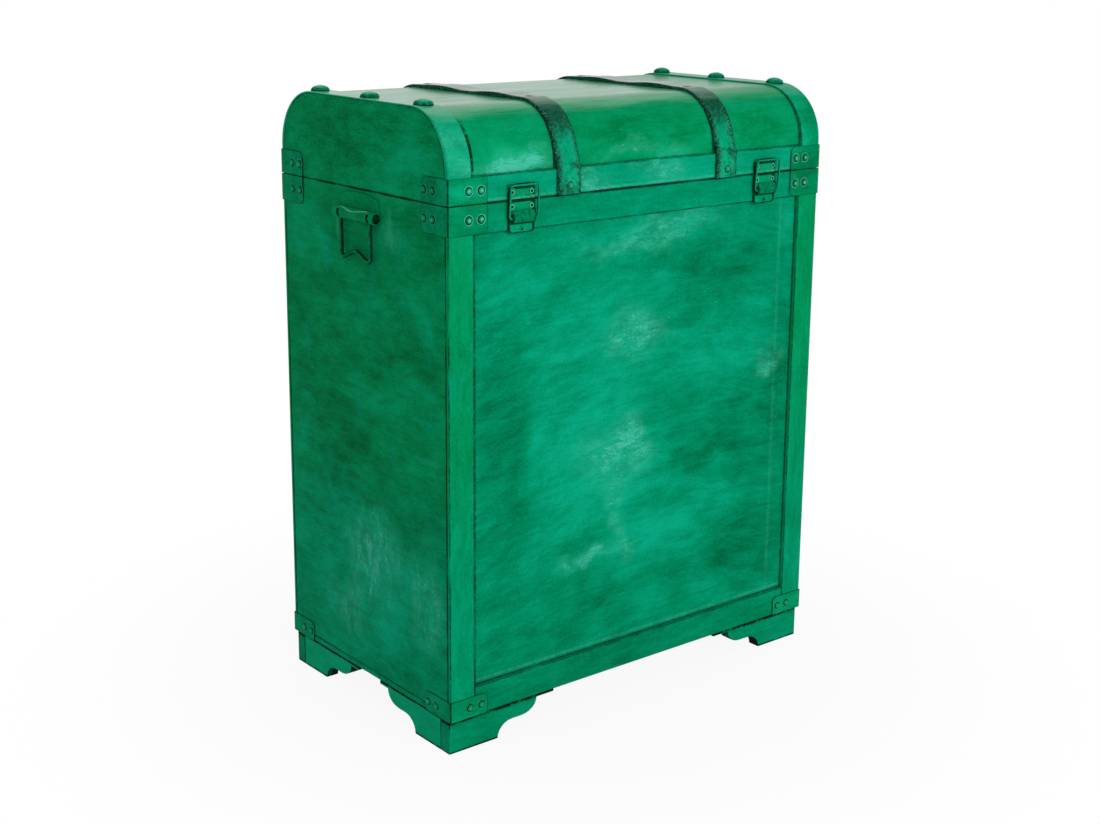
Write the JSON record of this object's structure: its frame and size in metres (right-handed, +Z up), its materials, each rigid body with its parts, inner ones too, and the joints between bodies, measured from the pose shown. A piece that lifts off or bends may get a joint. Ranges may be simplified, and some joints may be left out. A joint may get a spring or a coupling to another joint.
{
  "type": "wine chest",
  "caption": "Painted wooden wine chest on bracket feet, with a hinged rounded lid, leather straps, draw latches and drop handles.",
  "frame": {"origin": "on the floor, under the middle of the chest's bounding box", "axes": "+Z up, front towards -Y, +X to the right seen from the front"},
  "size_m": [0.6354, 0.3837, 0.79],
  "materials": {
    "green_board": "hand-rubbed green paint with dark glaze, satin",
    "green_frame": "hand-rubbed green paint with dark worn edges, satin",
    "green_iron": "green paint over sheet metal and wire, dark in the recesses",
    "strap_leather": "dark green leather, worn at the edges",
    "hinge_steel": "dark green paint, rubbed",
    "pin_steel": "plain steel"
  },
  "bodies": {
    "chest": {"side_board_left": "green_board", "side_board_right": "green_board", "front_board": "green_board", "back_board": "green_board", "bottom_board": "green_board", "front_stile_left": "green_frame", "front_stile_right": "green_frame", "front_top_rail": "green_frame", "front_bottom_rail": "green_frame", "back_stile_left": "green_frame", "back_stile_right": "green_frame", "back_top_rail": "green_frame", "back_bottom_rail": "green_frame", "foot_face_front_left": "green_frame", "foot_return_front_left": "green_frame", "foot_face_front_right": "green_frame", "foot_return_front_right": "green_frame", "foot_face_back_left": "green_frame", "foot_return_back_left": "green_frame", "foot_face_back_right": "green_frame", "foot_return_back_right": "green_frame", "top_bracket_front_left": "green_iron", "bottom_bracket_front_left": "green_iron", "top_bracket_front_right": "green_iron", "bottom_bracket_front_right": "green_iron", "top_bracket_back_left": "green_iron", "bottom_bracket_back_left": "green_iron", "top_bracket_back_right": "green_iron", "bottom_bracket_back_right": "green_iron", "latch_base_left": "green_iron", "handle_plate_left": "green_iron", "hinge_body_leaf_left": "hinge_steel", "hinge_pin_left": "pin_steel", "latch_base_right": "green_iron", "handle_plate_right": "green_iron", "hinge_body_leaf_right": "hinge_steel", "hinge_pin_right": "pin_steel"},
    "lid": {"lid_bracket_front_left": "green_iron", "lid_bracket_front_right": "green_iron", "lid_bracket_back_left": "green_iron", "lid_bracket_back_right": "green_iron", "lid_end_left": "green_board", "lid_band_left": "green_frame", "strap_left": "strap_leather", "latch_catch_left": "green_iron", "hinge_lid_leaf_left": "hinge_steel", "lid_end_right": "green_board", "lid_band_right": "green_frame", "strap_right": "strap_leather", "latch_catch_right": "green_iron", "hinge_lid_leaf_right": "hinge_steel", "lid_skin": "green_board", "lid_front_rail": "green_frame", "lid_back_rail": "green_frame"},
    "latch_lever_left": {"latch_lever_left": "green_iron"},
    "latch_bail_left": {"latch_bail_left": "green_iron"},
    "handle_loop_left": {"handle_loop_left": "green_iron"},
    "latch_lever_right": {"latch_lever_right": "green_iron"},
    "latch_bail_right": {"latch_bail_right": "green_iron"},
    "handle_loop_right": {"handle_loop_right": "green_iron"}
  },
  "joints": [
    {"name": "lid_hinge", "type": "hinge", "parent": "chest", "child": "lid", "pos_m": [0, 0.1887, 0.674], "axis": [-1, 0, 0], "range_deg": [0, 105]},
    {"name": "latch_lever_left", "type": "hinge", "parent": "chest", "child": "latch_lever_left", "pos_m": [-0.201, -0.1866, 0.6605], "axis": [-1, 0, 0], "range_deg": [0, 120]},
    {"name": "latch_bail_left", "type": "hinge", "parent": "latch_lever_left", "child": "latch_bail_left", "pos_m": [-0.201, -0.1878, 0.6531], "axis": [-1, 0, 0], "range_deg": [-150, 0]},
    {"name": "handle_loop_left", "type": "hinge", "parent": "chest", "child": "handle_loop_left", "pos_m": [-0.3116, 0.0012, 0.6415], "axis": [0, 1, 0], "range_deg": [0, 100]},
    {"name": "latch_lever_right", "type": "hinge", "parent": "chest", "child": "latch_lever_right", "pos_m": [0.201, -0.1866, 0.6605], "axis": [-1, 0, 0], "range_deg": [0, 120]},
    {"name": "latch_bail_right", "type": "hinge", "parent": "latch_lever_right", "child": "latch_bail_right", "pos_m": [0.201, -0.1878, 0.6531], "axis": [-1, 0, 0], "range_deg": [-150, 0]},
    {"name": "handle_loop_right", "type": "hinge", "parent": "chest", "child": "handle_loop_right", "pos_m": [0.3116, 0.0012, 0.6415], "axis": [0, -1, 0], "range_deg": [0, 100]}
  ],
  "couplings": [
    {"joint": "latch_bail_left", "follows": "latch_lever_left", "ratio": -1.25},
    {"joint": "latch_bail_right", "follows": "latch_lever_right", "ratio": -1.25}
  ]
}
